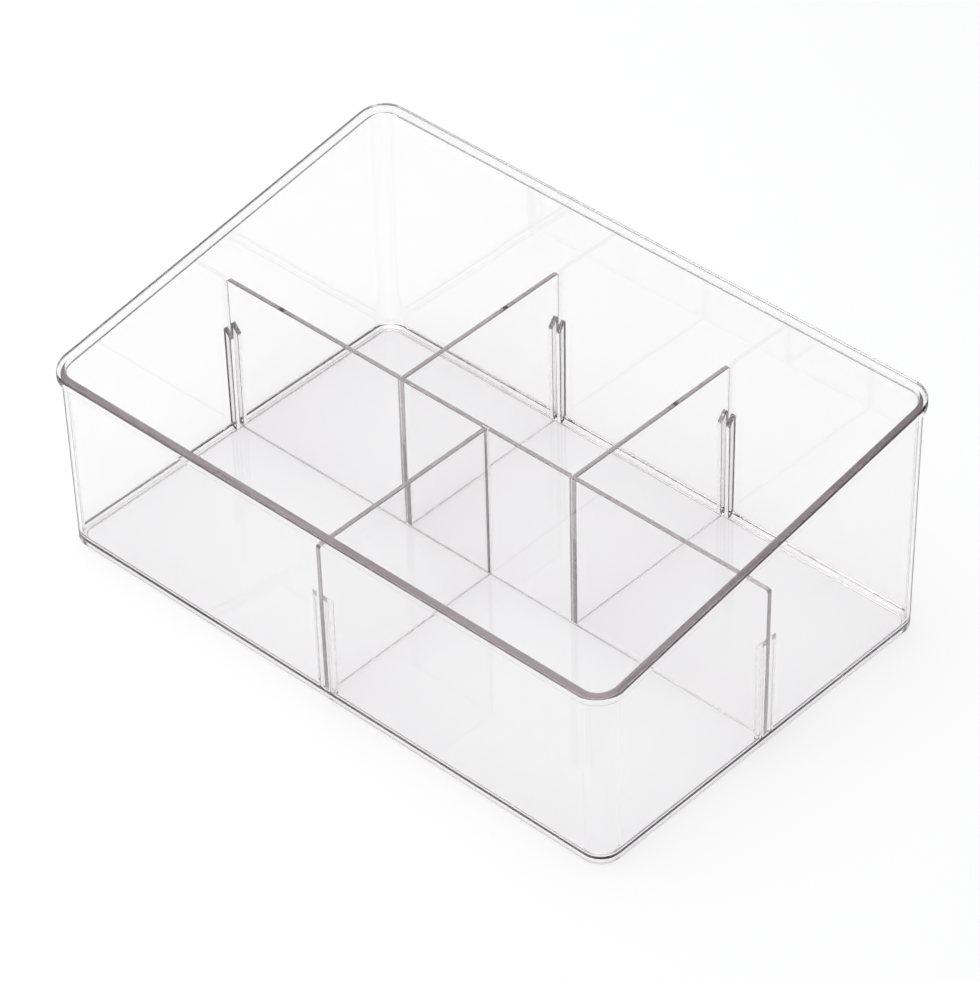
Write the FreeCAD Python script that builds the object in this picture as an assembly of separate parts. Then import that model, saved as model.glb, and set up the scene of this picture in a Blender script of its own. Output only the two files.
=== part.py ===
import FreeCAD, Part

import math
import os

# Clear sorting tray: one moulded tub with a sloping rim, and four flat dividers
# that drop between pairs of ribs on its walls.
# Millimetres. +X runs along the length, +Y to the back, +Z up.
# The origin is the middle of the footprint, on the surface that the tray stands on.

# Tub, measured over the rim
tray_length = 265.0
tray_depth = 173.5
front_height = 77.7
back_height = 104.3
rim_corner_radius = 11.0

# Walls and floor
wall_thickness = 1.7
floor_thickness = 2.4
draft_angle = 0.57
base_edge_radius = 1.3
floor_corner_radius = 2.6

# Flange round the outside of the walls' top edge
rim_overhang = 1.4
rim_height = 3.6
rim_top_rounding = 0.7
rim_under_rounding = 1.1
rim_inner_rounding = 0.4

# Foot ring: the flat that the tray stands on, round a shallow recess under the floor
foot_width = 2.1
foot_height = 1.2
foot_rounding = 0.4

# Ribs on the walls, in pairs, with a divider's end between them
rib_thickness = 2.0
rib_reach = 3.2
rib_top_level = 48.9
rib_top_drop = 4.0
rib_edge_rounding = 0.4

# Dividers
divider_thickness = 2.0
divider_height = 67.8
divider_top_radius = 1.4
divider_edge_rounding = 0.3
groove_depth = 0.9
long_divider_offset = 0.7
front_divider_offset = 0.0
rear_divider_spacing = 82.0

# Clearances: beside a divider in its slot or groove, past a divider's end, and under a divider
slot_clearance = 0.5
end_clearance = 0.4
floor_clearance = 0.1

# Worked out from the sizes above
rim_slope = (back_height - front_height) / tray_depth
lean_per_mm = math.tan(math.radians(draft_angle))
divider_bottom_level = floor_thickness + floor_clearance
divider_top_level = divider_bottom_level + divider_height
divider_bottom_radius = floor_corner_radius + end_clearance
slot_width = divider_thickness + 2 * slot_clearance
up = FreeCAD.Vector(0, 0, 1)
tiny = 1e-4


def rim_level(y):
    return front_height + rim_slope * (y + tray_depth / 2)


# How far a wall's outer face stands in from the rim's outer edge: the walls lean in towards the floor
def wall_inset(level):
    return rim_overhang + (back_height - level) * lean_per_mm


# Distance from the middle of the tray to a wall's inner face
def inner_half(size, level):
    return size / 2 - wall_inset(level) - wall_thickness


def rounded_rectangle(inset, level):
    radius = rim_corner_radius - inset
    x = tray_length / 2 - rim_corner_radius
    y = tray_depth / 2 - rim_corner_radius
    arcs = []
    for turn, centre in enumerate(((x, y), (-x, y), (-x, -y), (x, -y))):
        place = FreeCAD.Vector(*centre, level)
        arcs.append(Part.makeCircle(radius, place, up, turn * 90, turn * 90 + 90))
    edges = []
    for arc, following in zip(arcs, arcs[1:] + arcs[:1]):
        edges.append(arc)
        edges.append(Part.makeLine(arc.Vertexes[-1].Point, following.Vertexes[0].Point))
    return Part.Wire(edges)


def straight_block(inset, low, high):
    face = Part.Face(rounded_rectangle(inset, low))
    return face.extrude(up * (high - low))


# A block with the walls' lean, as far inside their outer faces as asked
def leaning_block(inset, low, high):
    sections = [rounded_rectangle(wall_inset(level) + inset, level) for level in (low, high)]
    return Part.makeLoft(sections, True, True)


# All that lies between two planes parallel to the rim, at these drops below it
def slab_below_rim(top_drop, bottom_drop):
    reach = tray_depth
    outline = ((-reach, top_drop), (reach, top_drop), (reach, bottom_drop), (-reach, bottom_drop))
    corners = [FreeCAD.Vector(-tray_length, y, rim_level(y) - drop) for y, drop in outline]
    face = Part.Face(Part.makePolygon(corners + corners[:1]))
    return face.extrude(FreeCAD.Vector(2 * tray_length, 0, 0))


def edges_below_rim(shape, drop):
    found = []
    for edge in shape.Edges:
        if all(abs(rim_level(v.Y) - drop - v.Z) < tiny for v in edge.Vertexes):
            found.append(edge)
    return found


def edges_at_level(shape, level):
    return [edge for edge in shape.Edges if all(abs(v.Z - level) < tiny for v in edge.Vertexes)]


def make_flange():
    block = straight_block(0, 0, 2 * back_height)
    flange = block.common(slab_below_rim(0, rim_height))
    flange = flange.makeFillet(rim_top_rounding, edges_below_rim(flange, 0))
    return flange.makeFillet(rim_under_rounding, edges_below_rim(flange, rim_height))


def make_walls():
    block = leaning_block(0, 0, back_height)
    block = block.makeFillet(base_edge_radius, edges_at_level(block, 0))
    return block.common(slab_below_rim(rim_height / 2, 2 * back_height))


def make_cavity():
    cavity = leaning_block(wall_thickness, floor_thickness, back_height + rim_height)
    return cavity.makeFillet(floor_corner_radius, edges_at_level(cavity, floor_thickness))


def make_foot_recess():
    recess = straight_block(wall_inset(0) + base_edge_radius + foot_width, -foot_height, foot_height)
    return recess.makeFillet(foot_rounding, edges_at_level(recess, foot_height))


# Rounds the rim's inner top edge, which is the hole in the rim's flat top face
def round_inner_rim(tub):
    for face in tub.Faces:
        if len(face.Wires) == 2 and len(edges_below_rim(face, 0)) == len(face.Edges):
            hole = [wire for wire in face.Wires if not wire.isSame(face.OuterWire)][0]
            return tub.makeFillet(rim_inner_rounding, hole.Edges)


# One rib on the right-hand wall of a tray of this size, starting at a place along the wall.
# Its top slopes down from the wall to its free edge.
def make_rib(size, start):
    wall = inner_half(size, rib_top_level)
    root = wall + wall_thickness / 2
    free = wall - rib_reach
    bottom = (floor_thickness + foot_height) / 2
    outline = (
        (root, bottom),
        (free, bottom),
        (free, rib_top_level - rib_top_drop),
        (wall, rib_top_level),
        (root, rib_top_level),
    )
    corners = [FreeCAD.Vector(x, start, z) for x, z in outline]
    face = Part.Face(Part.makePolygon(corners + corners[:1]))
    rib = face.extrude(FreeCAD.Vector(0, rib_thickness, 0))
    free_edges = []
    for edge in rib.Edges:
        first, last = edge.Vertexes
        on_free_face = max(abs(first.X - free), abs(last.X - free)) < tiny
        if on_free_face and abs(first.Y - last.Y) < tiny:
            free_edges.append(edge)
    return rib.makeFillet(rib_edge_rounding, free_edges)


# Two ribs with a slot between them, then turned to their wall
def make_rib_pair(size, centre, turn):
    ribs = []
    for start in (centre - slot_width / 2 - rib_thickness, centre + slot_width / 2):
        rib = make_rib(size, start)
        rib.rotate(FreeCAD.Vector(), up, turn)
        ribs.append(rib)
    return ribs


def make_tub():
    tub = make_walls().fuse(make_flange()).removeSplitter()
    tub = tub.cut(make_cavity())
    tub = tub.cut(make_foot_recess())
    tub = round_inner_rim(tub)
    ribs = make_rib_pair(tray_length, long_divider_offset, 0)
    ribs += make_rib_pair(tray_length, -long_divider_offset, 180)
    ribs += make_rib_pair(tray_depth, front_divider_offset, 270)
    for side in (-1, 1):
        ribs += make_rib_pair(tray_depth, side * rear_divider_spacing / 2, 90)
    return tub.fuse(ribs).removeSplitter()


# An upright flat panel along X, through its corners, some of them rounded, with its edges eased
def make_panel(corners, rounded_corners):
    points = [FreeCAD.Vector(x, -divider_thickness / 2, z) for x, z in corners]
    face = Part.Face(Part.makePolygon(points + points[:1]))
    panel = face.extrude(FreeCAD.Vector(0, divider_thickness, 0))
    for x, z in rounded_corners:
        across = []
        for edge in panel.Edges:
            if all(abs(v.X - x) + abs(v.Z - z) < tiny for v in edge.Vertexes):
                across.append(edge)
        radius = divider_top_radius if z == divider_top_level else divider_bottom_radius
        panel = panel.makeFillet(radius, across)
    outline = [edge for edge in panel.Edges if abs(edge.Vertexes[0].Y - edge.Vertexes[-1].Y) < tiny]
    return panel.makeFillet(divider_edge_rounding, outline)


def divider_end(size, level):
    return inner_half(size, level) - end_clearance


def make_long_divider():
    low = divider_end(tray_length, divider_bottom_level)
    high = divider_end(tray_length, divider_top_level)
    corners = (
        (-low, divider_bottom_level),
        (low, divider_bottom_level),
        (high, divider_top_level),
        (-high, divider_top_level),
    )
    divider = make_panel(corners, corners)
    grooves = [(front_divider_offset, -1)]
    grooves += [(side * rear_divider_spacing / 2, 1) for side in (-1, 1)]
    for x, face_side in grooves:
        groove = Part.makeBox(slot_width, 2 * groove_depth, 2 * back_height)
        middle = face_side * divider_thickness / 2
        groove.translate(FreeCAD.Vector(x - slot_width / 2, middle - groove_depth, 0))
        divider = divider.cut(groove)
    divider.translate(FreeCAD.Vector(0, long_divider_offset, 0))
    return divider


# A divider from the front wall (side -1) or the back wall (side 1) to the groove in the long divider
def make_cross_divider(x, side):
    inner = side * long_divider_offset + divider_thickness / 2 - groove_depth + end_clearance
    low = divider_end(tray_depth, divider_bottom_level)
    high = divider_end(tray_depth, divider_top_level)
    corners = (
        (inner, divider_bottom_level),
        (low, divider_bottom_level),
        (high, divider_top_level),
        (inner, divider_top_level),
    )
    divider = make_panel(corners, corners[1:3])
    divider.rotate(FreeCAD.Vector(), up, side * 90)
    divider.translate(FreeCAD.Vector(x, 0, 0))
    return divider


nodes = {
    "tub": make_tub(),
    "long_divider": make_long_divider(),
    "front_divider": make_cross_divider(front_divider_offset, -1),
    "rear_left_divider": make_cross_divider(-rear_divider_spacing / 2, 1),
    "rear_right_divider": make_cross_divider(rear_divider_spacing / 2, 1),
}

os.makedirs("parts", exist_ok=True)
for name, shape in nodes.items():
    solid = shape.Solids[0]
    solid.exportStep(f"parts/{name}.step")
    box = solid.optimalBoundingBox(False, False)
    print(f"{name}: {len(shape.Solids)} solid, valid {solid.isValid()}, {solid.Volume:.1f} mm3,",
          f"{box.XLength:.2f} x {box.YLength:.2f} x {box.ZLength:.2f} mm")
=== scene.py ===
import bpy
import math
from mathutils import Matrix, Vector

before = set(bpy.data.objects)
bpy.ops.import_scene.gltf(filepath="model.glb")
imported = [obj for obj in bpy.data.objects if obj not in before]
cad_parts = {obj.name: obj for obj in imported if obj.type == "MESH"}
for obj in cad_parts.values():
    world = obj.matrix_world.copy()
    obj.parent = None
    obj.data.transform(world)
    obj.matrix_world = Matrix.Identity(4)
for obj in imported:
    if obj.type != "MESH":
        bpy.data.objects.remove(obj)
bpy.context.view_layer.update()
bpy.ops.object.select_all(action="DESELECT")
scene = bpy.context.scene
print("tray loaded:", ", ".join(sorted(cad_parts)))


# camera, at the photograph's viewing angle
cameraSettings = {
    "azimuth": 43.766,      # degrees from straight in front, towards the right-hand end
    "elevation": 40.283,    # degrees above the table
    "roll": -1.494,         # degrees
    "distance": 1.6656,     # metres to the point aimed at
    "aim": (0.00388, -0.00244, 0.04529),
    "lens": 173.62,         # mm
    "sensor": 36,           # mm
    "nearest": 0.05,        # metres, the clipping range
    "farthest": 50,
}


def addCamera(settings):
    turn = Matrix.Rotation(math.radians(settings["azimuth"]), 4, "Z")
    turn = turn @ Matrix.Rotation(math.radians(90 - settings["elevation"]), 4, "X")
    turn = turn @ Matrix.Rotation(math.radians(settings["roll"]), 4, "Z")
    bpy.ops.object.camera_add()
    camera = bpy.context.object
    camera.name = "photoCamera"
    camera.data.sensor_fit = "HORIZONTAL"
    camera.data.sensor_width = settings["sensor"]
    camera.data.lens = settings["lens"]
    camera.data.clip_start = settings["nearest"]
    camera.data.clip_end = settings["farthest"]
    back = turn @ Vector((0, 0, settings["distance"]))
    camera.matrix_world = Matrix.Translation(Vector(settings["aim"]) + back) @ turn
    scene.camera = camera


addCamera(cameraSettings)
print("camera placed")


# small helpers for node trees
nodeSpacing = (200, 160)


def addNode(tree, kind, place, **values):
    node = tree.nodes.new(kind)
    node.location = (place[0] * nodeSpacing[0], place[1] * nodeSpacing[1])
    for name, value in values.items():
        setattr(node, name, value)
    return node


def join(tree, source, target):
    tree.links.new(source, target)


# sets a number on a socket, or joins another node's output to it
def feed(tree, value, socket):
    if isinstance(value, (int, float)):
        socket.default_value = value
    else:
        join(tree, value, socket)


def newGroup(name, inputs, outputs):
    group = bpy.data.node_groups.new(name, "ShaderNodeTree")
    for socketName, kind in inputs:
        group.interface.new_socket(socketName, in_out="INPUT", socket_type=kind)
    for socketName, kind in outputs:
        group.interface.new_socket(socketName, in_out="OUTPUT", socket_type=kind)
    start = addNode(group, "NodeGroupInput", (-6, 0))
    end = addNode(group, "NodeGroupOutput", (6, 0))
    return group, start, end


def addMath(tree, place, operation, *values):
    node = addNode(tree, "ShaderNodeMath", place, operation=operation)
    for value, socket in zip(values, node.inputs):
        feed(tree, value, socket)
    return node.outputs[0]


def addRange(tree, place, source, low, high):
    node = addNode(tree, "ShaderNodeMapRange", place)
    node.inputs["From Min"].default_value = low
    node.inputs["From Max"].default_value = high
    join(tree, source, node.inputs["Value"])
    return node.outputs["Result"]


def addNoise(tree, place, vector, scale, detail):
    node = addNode(tree, "ShaderNodeTexNoise", place)
    node.inputs["Detail"].default_value = detail
    feed(tree, scale, node.inputs["Scale"])
    join(tree, vector, node.inputs["Vector"])
    return node.outputs["Fac"]


# moulded surface: the slow waviness of a cooled wall and a very fine polish texture
mouldSettings = {"waveDetail": 1.0, "fineScale": 900.0, "fineDetail": 1.0, "fineShare": 0.02}


def makeMouldGroup(settings):
    group, start, end = newGroup(
        "mouldedSurface",
        [("Place", "NodeSocketVector"), ("Wave Scale", "NodeSocketFloat")],
        [("Height", "NodeSocketFloat")],
    )
    place = start.outputs["Place"]
    wave = addNoise(group, (-2, 1), place, start.outputs["Wave Scale"], settings["waveDetail"])
    fine = addNoise(group, (-2, -1), place, settings["fineScale"], settings["fineDetail"])
    share = addMath(group, (0, -1), "MULTIPLY", fine, settings["fineShare"])
    join(group, addMath(group, (2, 0), "ADD", wave, share), end.inputs["Height"])
    return group


# lays the texture flat on each wall: X and Y faces take Z upwards, level faces take X and Y
flatSettings = {"facesAxis": 0.7}       # part of the normal along an axis, above which a face faces it


def makeFlatGroup(settings):
    group, start, end = newGroup(
        "flatPlace",
        [("Place", "NodeSocketVector"), ("Facing", "NodeSocketVector")],
        [("Flat", "NodeSocketVector")],
    )
    place = addNode(group, "ShaderNodeSeparateXYZ", (-4, 1))
    facing = addNode(group, "ShaderNodeSeparateXYZ", (-4, -1))
    join(group, start.outputs["Place"], place.inputs[0])
    join(group, start.outputs["Facing"], facing.inputs[0])
    flat = addNode(group, "ShaderNodeCombineXYZ", (4, 0))
    for axis, socket, row in (("X", "X", 1), ("Z", "Y", -1)):
        size = addMath(group, (-3, row), "ABSOLUTE", facing.outputs[axis])
        across = addMath(group, (-2, row), "GREATER_THAN", size, settings["facesAxis"])
        blend = addNode(group, "ShaderNodeMix", (0, row))
        join(group, across, blend.inputs["Factor"])
        join(group, place.outputs[axis], blend.inputs["A"])
        join(group, place.outputs["Y"], blend.inputs["B"])
        join(group, blend.outputs["Result"], flat.inputs[socket])
    join(group, flat.outputs[0], end.inputs["Flat"])
    return group


# handling marks: hair-fine scratches two ways, gathered in patches, and a faint haze of smudges
marksSettings = {
    "turns": (0.0, 1.1),            # radians, between the two ways that scratches run
    "stretch": (22, 1300, 1),       # drawn out one way, hair-fine across it
    "scratchRange": (0.74, 0.80),   # noise values, from no mark to a full one
    "patchDetail": 1.0,
    "patchRange": (0.50, 0.66),
    "smudgeScale": 26.0,
    "smudgeDetail": 3.0,
    "smudgeRange": (0.48, 0.75),
}


def makeMarksGroup(settings):
    group, start, end = newGroup(
        "handlingMarks",
        [("Flat", "NodeSocketVector"), ("Place", "NodeSocketVector"),
         ("Turn", "NodeSocketVector"), ("Patch Scale", "NodeSocketFloat")],
        [("Scratches", "NodeSocketFloat"), ("Smudges", "NodeSocketFloat")],
    )
    lines = []
    for row, turn in zip((2, 0), settings["turns"]):
        spin = addNode(group, "ShaderNodeMapping", (-4, row))
        spin.inputs["Rotation"].default_value = (0, 0, turn)
        stretch = addNode(group, "ShaderNodeMapping", (-3, row))
        stretch.inputs["Scale"].default_value = settings["stretch"]
        join(group, start.outputs["Flat"], spin.inputs["Vector"])
        join(group, spin.outputs[0], stretch.inputs["Vector"])
        join(group, start.outputs["Turn"], stretch.inputs["Rotation"])
        noise = addNoise(group, (-2, row), stretch.outputs[0], 1.0, 0.0)
        lines.append(addRange(group, (-1, row), noise, *settings["scratchRange"]))
    both = addMath(group, (0, 1), "MAXIMUM", *lines)
    place = start.outputs["Place"]
    patch = addNoise(group, (-2, -2), place, start.outputs["Patch Scale"], settings["patchDetail"])
    worn = addRange(group, (-1, -2), patch, *settings["patchRange"])
    join(group, addMath(group, (2, 1), "MULTIPLY", both, worn), end.inputs["Scratches"])
    smudge = addNoise(group, (-2, -4), place, settings["smudgeScale"], settings["smudgeDetail"])
    join(group, addRange(group, (-1, -4), smudge, *settings["smudgeRange"]), end.inputs["Smudges"])
    return group


mouldGroup = makeMouldGroup(mouldSettings)
flatGroup = makeFlatGroup(flatSettings)
marksGroup = makeMarksGroup(marksSettings)
print("surface groups built")


# clear plastic: glass-like skin with marks, painted shade on its rounded edges seen edge-on, a mauve tint
# through its depth, and light passing to the table
def makeClear(name, settings):
    material = bpy.data.materials.new(name)
    material.use_nodes = True
    tree = material.node_tree
    tree.nodes.clear()
    output = addNode(tree, "ShaderNodeOutputMaterial", (6, 0))
    plastic = addNode(tree, "ShaderNodeBsdfPrincipled", (2, 1))
    plastic.inputs["IOR"].default_value = settings["ior"]
    plastic.inputs["Transmission Weight"].default_value = 1.0

    coords = addNode(tree, "ShaderNodeTexCoord", (-6, 0))
    flat = addNode(tree, "ShaderNodeGroup", (-4, 1), node_tree=flatGroup)
    join(tree, coords.outputs["Object"], flat.inputs["Place"])
    join(tree, coords.outputs["Normal"], flat.inputs["Facing"])
    marks = addNode(tree, "ShaderNodeGroup", (-3, 1), node_tree=marksGroup)
    marks.inputs["Turn"].default_value = (0, 0, settings["scratchTurn"])
    marks.inputs["Patch Scale"].default_value = settings["patchScale"]
    join(tree, flat.outputs["Flat"], marks.inputs["Flat"])
    join(tree, coords.outputs["Object"], marks.inputs["Place"])

    # marks roughen the polish and dim the surface a trace
    scratch = addMath(tree, (-1, 3), "MULTIPLY", marks.outputs["Scratches"], settings["scratchRoughness"])
    smudge = addMath(tree, (-1, 2), "MULTIPLY", marks.outputs["Smudges"], settings["smudgeRoughness"])
    dulled = addMath(tree, (0, 3), "ADD", scratch, smudge)
    join(tree, addMath(tree, (1, 3), "ADD", dulled, settings["roughness"]), plastic.inputs["Roughness"])
    tint = addNode(tree, "ShaderNodeMix", (0, 1), data_type="RGBA")
    tint.inputs["A"].default_value = settings["cleanColour"]
    tint.inputs["B"].default_value = settings["smudgedColour"]
    join(tree, marks.outputs["Smudges"], tint.inputs["Factor"])
    join(tree, tint.outputs["Result"], plastic.inputs["Base Color"])

    mould = addNode(tree, "ShaderNodeGroup", (-3, -1), node_tree=mouldGroup)
    mould.inputs["Wave Scale"].default_value = settings["waveScale"]
    join(tree, coords.outputs["Object"], mould.inputs["Place"])
    cut = addMath(tree, (-2, -2), "MULTIPLY", marks.outputs["Scratches"], settings["scratchDepth"])
    bump = addNode(tree, "ShaderNodeBump", (0, -1))
    bump.inputs["Distance"].default_value = settings["waveHeight"]
    height = addMath(tree, (-1, -1), "SUBTRACT", mould.outputs["Height"], cut)
    join(tree, height, bump.inputs["Height"])
    join(tree, bump.outputs["Normal"], plastic.inputs["Normal"])

    # rounded corners, seen nearly edge-on from outside, get painted shade: a grey see-through layer darkens
    # them, standing in for dark surroundings reflected there
    grazing = addNode(tree, "ShaderNodeLayerWeight", (0, 5))
    outside = addNode(tree, "ShaderNodeNewGeometry", (0, 6))
    steep = addRange(tree, (1, 5), grazing.outputs["Facing"], settings["edgeStart"], 1.0)
    front = addMath(tree, (1, 6), "SUBTRACT", 1.0, outside.outputs["Backfacing"])
    facing = addNode(tree, "ShaderNodeSeparateXYZ", (-2, 7))
    join(tree, coords.outputs["Normal"], facing.inputs[0])
    sizes = [addMath(tree, (-1, 7 + row), "ABSOLUTE", facing.outputs[row]) for row in range(3)]
    larger = addMath(tree, (0, 8), "MAXIMUM", sizes[0], sizes[1])
    largest = addMath(tree, (0, 7), "MAXIMUM", larger, sizes[2])
    rounded = addRange(tree, (1, 7), largest, settings["flatFrom"], settings["roundFrom"])
    seenSteep = addMath(tree, (2, 6), "MULTIPLY", steep, front)
    paintedShadeMask = addMath(tree, (2, 5), "MULTIPLY", seenSteep, rounded)
    # painted shade: the grey see-through layer mixed in at those edges
    paintedEdgeShade = addNode(tree, "ShaderNodeBsdfTransparent", (2, -1))
    paintedEdgeShade.inputs["Color"].default_value = settings["paintedEdgeShadeColour"]
    plasticWithPaintedShade = addNode(tree, "ShaderNodeMixShader", (3, 1))
    join(tree, paintedShadeMask, plasticWithPaintedShade.inputs[0])
    join(tree, plastic.outputs[0], plasticWithPaintedShade.inputs[1])
    join(tree, paintedEdgeShade.outputs[0], plasticWithPaintedShade.inputs[2])

    # lamps and the light off the table pass straight through
    passing = addNode(tree, "ShaderNodeBsdfTransparent", (2, -2))
    passing.inputs["Color"].default_value = settings["shadowTint"]
    rays = addNode(tree, "ShaderNodeLightPath", (2, 4))
    either = addMath(tree, (3, 4), "MAXIMUM", rays.outputs["Is Shadow Ray"], rays.outputs["Is Diffuse Ray"])
    mix = addNode(tree, "ShaderNodeMixShader", (4, 1))
    absorb = addNode(tree, "ShaderNodeVolumeAbsorption", (4, -2))
    absorb.inputs["Color"].default_value = settings["absorbColour"]
    absorb.inputs["Density"].default_value = settings["absorbDensity"]
    join(tree, either, mix.inputs[0])
    join(tree, plasticWithPaintedShade.outputs[0], mix.inputs[1])
    join(tree, passing.outputs[0], mix.inputs[2])
    join(tree, mix.outputs[0], output.inputs["Surface"])
    join(tree, absorb.outputs[0], output.inputs["Volume"])
    return material


tubSettings = {
    "ior": 1.56,
    "roughness": 0.012,
    "scratchTurn": 0.3,             # radians, how the scratches lie on a wall
    "patchScale": 14.0,
    "scratchRoughness": 0.10,
    "smudgeRoughness": 0.012,
    "cleanColour": (1.0, 1.0, 1.0, 1),
    "smudgedColour": (0.992, 0.992, 0.993, 1),
    # painted shade: grey of the dark lines along rounded edges seen edge-on
    "paintedEdgeShadeColour": (0.36, 0.36, 0.37, 1),
    "edgeStart": 0.66,              # 0 seen square on, 1 seen edge-on
    "flatFrom": 0.985,              # largest part of a normal: flat above this
    "roundFrom": 0.90,              # and fully rounded below this
    "waveScale": 28.0,
    "waveHeight": 0.00012,          # metres
    "scratchDepth": 0.04,           # share of the wave height
    "absorbColour": (0.7925, 0.76, 0.768, 1),
    "absorbDensity": 46.0,
    "shadowTint": (0.980, 0.978, 0.981, 1),
}

dividerSettings = {
    "ior": 1.56,
    "roughness": 0.015,
    "scratchTurn": 1.35,            # steeper, from sliding in the slots
    "patchScale": 18.0,
    "scratchRoughness": 0.12,
    "smudgeRoughness": 0.015,
    "cleanColour": (1.0, 1.0, 1.0, 1),
    "smudgedColour": (0.990, 0.990, 0.992, 1),
    # painted shade: grey of the dark lines along rounded edges seen edge-on
    "paintedEdgeShadeColour": (0.36, 0.36, 0.37, 1),
    "edgeStart": 0.66,
    "flatFrom": 0.985,
    "roundFrom": 0.90,
    "waveScale": 22.0,
    "waveHeight": 0.00010,
    "scratchDepth": 0.04,
    "absorbColour": (0.7925, 0.76, 0.768, 1),
    "absorbDensity": 34.0,
    "shadowTint": (0.980, 0.978, 0.981, 1),
}

tubPlastic = makeClear("tubPlastic", tubSettings)
dividerPlastic = makeClear("dividerPlastic", dividerSettings)
for name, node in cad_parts.items():
    node.material_slots[0].material = tubPlastic if name == "tub" else dividerPlastic
print("clear plastic assigned")


# plain pale floor
floorSettings = {
    "radius": 6.0,                  # metres
    "sides": 64,
    "drop": 0.0003,                 # metres below the tray's foot
    "colour": (0.93, 0.93, 0.93, 1),
    "roughness": 0.9,
    "gloss": 0.0,
}


def addFloor(settings):
    bpy.ops.mesh.primitive_circle_add(vertices=settings["sides"], radius=settings["radius"],
                                      fill_type="NGON", location=(0, 0, -settings["drop"]))
    floor = bpy.context.object
    floor.name = "studioFloor"
    bpy.ops.object.transform_apply(location=True, rotation=True, scale=True)
    paper = bpy.data.materials.new("floorPaper")
    paper.use_nodes = True
    shader = paper.node_tree.nodes["Principled BSDF"]
    shader.inputs["Base Color"].default_value = settings["colour"]
    shader.inputs["Roughness"].default_value = settings["roughness"]
    shader.inputs["Specular IOR Level"].default_value = settings["gloss"]
    floor.data.materials.append(paper)


addFloor(floorSettings)


# soft studio light, aimed at the middle of the table
lightSettings = {
    "top": {"place": (-0.3, -0.25, 2.4), "size": 2.6, "power": 64.0},
    "front": {"place": (1.5, -1.5, 2.2), "size": 1.8, "power": 8.0},
    "back": {"place": (-1.33, 1.38, 1.6), "size": 2.0, "power": 6.0},
    "left": {"place": (-1.5, -1.4, 1.9), "size": 1.8, "power": 4.0},
}
worldSettings = {"colour": (0.9, 0.92, 0.95, 1), "strength": 0.12}


def addLight(name, settings):
    bpy.ops.object.light_add(type="AREA", location=settings["place"])
    light = bpy.context.object
    light.name = name
    light.data.shape = "DISK"
    light.data.size = settings["size"]
    light.data.energy = settings["power"]
    light.rotation_euler = Vector(settings["place"]).to_track_quat("Z", "Y").to_euler()


def addWorld(settings):
    world = bpy.data.worlds.new("studioWorld")
    scene.world = world
    world.use_nodes = True
    background = world.node_tree.nodes["Background"]
    background.inputs["Color"].default_value = settings["colour"]
    background.inputs["Strength"].default_value = settings["strength"]


for name, settings in lightSettings.items():
    addLight(name + "Light", settings)
addWorld(worldSettings)
print("floor and lights placed")

# light runs a long way down inside the walls, so it needs many bounces
bounceSettings = {"inside": 256, "straightThrough": 64}
scene.view_settings.view_transform = "Standard"
scene.cycles.max_bounces = bounceSettings["inside"]
scene.cycles.glossy_bounces = bounceSettings["inside"]
scene.cycles.transmission_bounces = bounceSettings["inside"]
scene.cycles.transparent_max_bounces = bounceSettings["straightThrough"]
